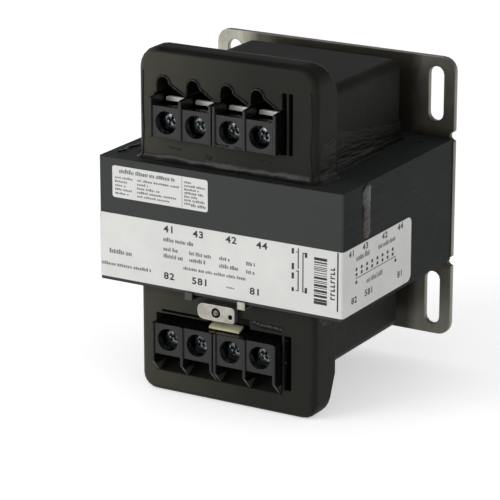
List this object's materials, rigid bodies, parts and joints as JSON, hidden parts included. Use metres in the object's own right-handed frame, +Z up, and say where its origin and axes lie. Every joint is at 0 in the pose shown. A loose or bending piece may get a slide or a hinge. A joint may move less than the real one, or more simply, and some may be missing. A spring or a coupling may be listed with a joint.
{
  "type": "control transformer",
  "caption": "Panel-mounted control transformer with a welded laminated core, moulded coil covers with recessed screw terminals, a fuse link strap and a slotted mounting plate.",
  "frame": {"origin": "middle of the mounting plate's back face, which lies on the panel", "axes": "+X to the right along the front, +Y into the panel (out of the plate's back), +Z up"},
  "size_m": [0.0976, 0.0831, 0.1226],
  "materials": {
    "plate_steel": "dull zinc-olive sheet",
    "core_paint": "satin dark grey over laminations",
    "painted_weld": "rough painted weld",
    "former_plastic": "matt",
    "enamelled_wire": "enamelled copper",
    "insulation_paper": "matt",
    "cover_moulding": "satin, warm black",
    "block_moulding": "satin black",
    "screw_steel": "dark bright-edged",
    "tinned_metal": "tinned, soft bright",
    "rivet_brass": "dull",
    "insulating_fibre": "matt olive fibre",
    "label_film": "satin printed film"
  },
  "bodies": {
    "transformer": {"mounting_plate": "plate_steel", "core_e_stack": "core_paint", "core_i_stack": "core_paint", "core_weld_left": "painted_weld", "core_weld_right": "painted_weld", "coil_former": "former_plastic", "primary_winding": "enamelled_wire", "winding_insulation": "insulation_paper", "secondary_winding": "enamelled_wire", "top_cover": "cover_moulding", "bottom_cover": "cover_moulding", "top_block_left": "block_moulding", "top_block_right": "block_moulding", "bottom_block_left": "block_moulding", "bottom_block_right": "block_moulding", "link_strap": "tinned_metal", "strap_rivet": "rivet_brass", "clip_tab_left": "tinned_metal", "clip_tab_right": "tinned_metal", "insulating_strip": "insulating_fibre", "main_label": "label_film", "small_label": "label_film", "top_bar_1": "tinned_metal", "top_bar_2": "tinned_metal", "top_bar_3": "tinned_metal", "top_bar_4": "tinned_metal", "bottom_bar_1": "tinned_metal", "bottom_bar_2": "tinned_metal", "bottom_bar_3": "tinned_metal", "bottom_bar_4": "tinned_metal"},
    "top_clamp_1": {"top_clamp_1": "tinned_metal"},
    "top_screw_1": {"top_screw_1": "screw_steel"},
    "top_clamp_2": {"top_clamp_2": "tinned_metal"},
    "top_screw_2": {"top_screw_2": "screw_steel"},
    "top_clamp_3": {"top_clamp_3": "tinned_metal"},
    "top_screw_3": {"top_screw_3": "screw_steel"},
    "top_clamp_4": {"top_clamp_4": "tinned_metal"},
    "top_screw_4": {"top_screw_4": "screw_steel"},
    "bottom_clamp_1": {"bottom_clamp_1": "tinned_metal"},
    "bottom_screw_1": {"bottom_screw_1": "screw_steel"},
    "bottom_clamp_2": {"bottom_clamp_2": "tinned_metal"},
    "bottom_screw_2": {"bottom_screw_2": "screw_steel"},
    "bottom_clamp_3": {"bottom_clamp_3": "tinned_metal"},
    "bottom_screw_3": {"bottom_screw_3": "screw_steel"},
    "bottom_clamp_4": {"bottom_clamp_4": "tinned_metal"},
    "bottom_screw_4": {"bottom_screw_4": "screw_steel"}
  },
  "joints": [
    {"name": "top_clamp_1_travel", "type": "slide", "parent": "transformer", "child": "top_clamp_1", "axis": [0, -1, 0], "range_m": [0, 0.0024]},
    {"name": "top_screw_1_turn", "type": "hinge", "parent": "top_clamp_1", "child": "top_screw_1", "pos_m": [-0.02133, -0.07698, 0.0366], "axis": [0, -1, 0], "range_deg": [0, 1080]},
    {"name": "top_clamp_2_travel", "type": "slide", "parent": "transformer", "child": "top_clamp_2", "axis": [0, -1, 0], "range_m": [0, 0.0024]},
    {"name": "top_screw_2_turn", "type": "hinge", "parent": "top_clamp_2", "child": "top_screw_2", "pos_m": [-0.00967, -0.07698, 0.0366], "axis": [0, -1, 0], "range_deg": [0, 1080]},
    {"name": "top_clamp_3_travel", "type": "slide", "parent": "transformer", "child": "top_clamp_3", "axis": [0, -1, 0], "range_m": [0, 0.0024]},
    {"name": "top_screw_3_turn", "type": "hinge", "parent": "top_clamp_3", "child": "top_screw_3", "pos_m": [0.00347, -0.07698, 0.0366], "axis": [0, -1, 0], "range_deg": [0, 1080]},
    {"name": "top_clamp_4_travel", "type": "slide", "parent": "transformer", "child": "top_clamp_4", "axis": [0, -1, 0], "range_m": [0, 0.0024]},
    {"name": "top_screw_4_turn", "type": "hinge", "parent": "top_clamp_4", "child": "top_screw_4", "pos_m": [0.01512, -0.07698, 0.0366], "axis": [0, -1, 0], "range_deg": [0, 1080]},
    {"name": "bottom_clamp_1_travel", "type": "slide", "parent": "transformer", "child": "bottom_clamp_1", "axis": [0, -1, 0], "range_m": [0, 0.0024]},
    {"name": "bottom_screw_1_turn", "type": "hinge", "parent": "bottom_clamp_1", "child": "bottom_screw_1", "pos_m": [-0.02133, -0.07698, -0.0407], "axis": [0, -1, 0], "range_deg": [0, 1080]},
    {"name": "bottom_clamp_2_travel", "type": "slide", "parent": "transformer", "child": "bottom_clamp_2", "axis": [0, -1, 0], "range_m": [0, 0.0024]},
    {"name": "bottom_screw_2_turn", "type": "hinge", "parent": "bottom_clamp_2", "child": "bottom_screw_2", "pos_m": [-0.00967, -0.07698, -0.0407], "axis": [0, -1, 0], "range_deg": [0, 1080]},
    {"name": "bottom_clamp_3_travel", "type": "slide", "parent": "transformer", "child": "bottom_clamp_3", "axis": [0, -1, 0], "range_m": [0, 0.0024]},
    {"name": "bottom_screw_3_turn", "type": "hinge", "parent": "bottom_clamp_3", "child": "bottom_screw_3", "pos_m": [0.00347, -0.07698, -0.0407], "axis": [0, -1, 0], "range_deg": [0, 1080]},
    {"name": "bottom_clamp_4_travel", "type": "slide", "parent": "transformer", "child": "bottom_clamp_4", "axis": [0, -1, 0], "range_m": [0, 0.0024]},
    {"name": "bottom_screw_4_turn", "type": "hinge", "parent": "bottom_clamp_4", "child": "bottom_screw_4", "pos_m": [0.01512, -0.07698, -0.0407], "axis": [0, -1, 0], "range_deg": [0, 1080]}
  ],
  "couplings": [
    {"joint": "top_screw_1_turn", "follows": "top_clamp_1_travel", "rad_per_m": 7854},
    {"joint": "top_screw_2_turn", "follows": "top_clamp_2_travel", "rad_per_m": 7854},
    {"joint": "top_screw_3_turn", "follows": "top_clamp_3_travel", "rad_per_m": 7854},
    {"joint": "top_screw_4_turn", "follows": "top_clamp_4_travel", "rad_per_m": 7854},
    {"joint": "bottom_screw_1_turn", "follows": "bottom_clamp_1_travel", "rad_per_m": 7854},
    {"joint": "bottom_screw_2_turn", "follows": "bottom_clamp_2_travel", "rad_per_m": 7854},
    {"joint": "bottom_screw_3_turn", "follows": "bottom_clamp_3_travel", "rad_per_m": 7854},
    {"joint": "bottom_screw_4_turn", "follows": "bottom_clamp_4_travel", "rad_per_m": 7854}
  ]
}
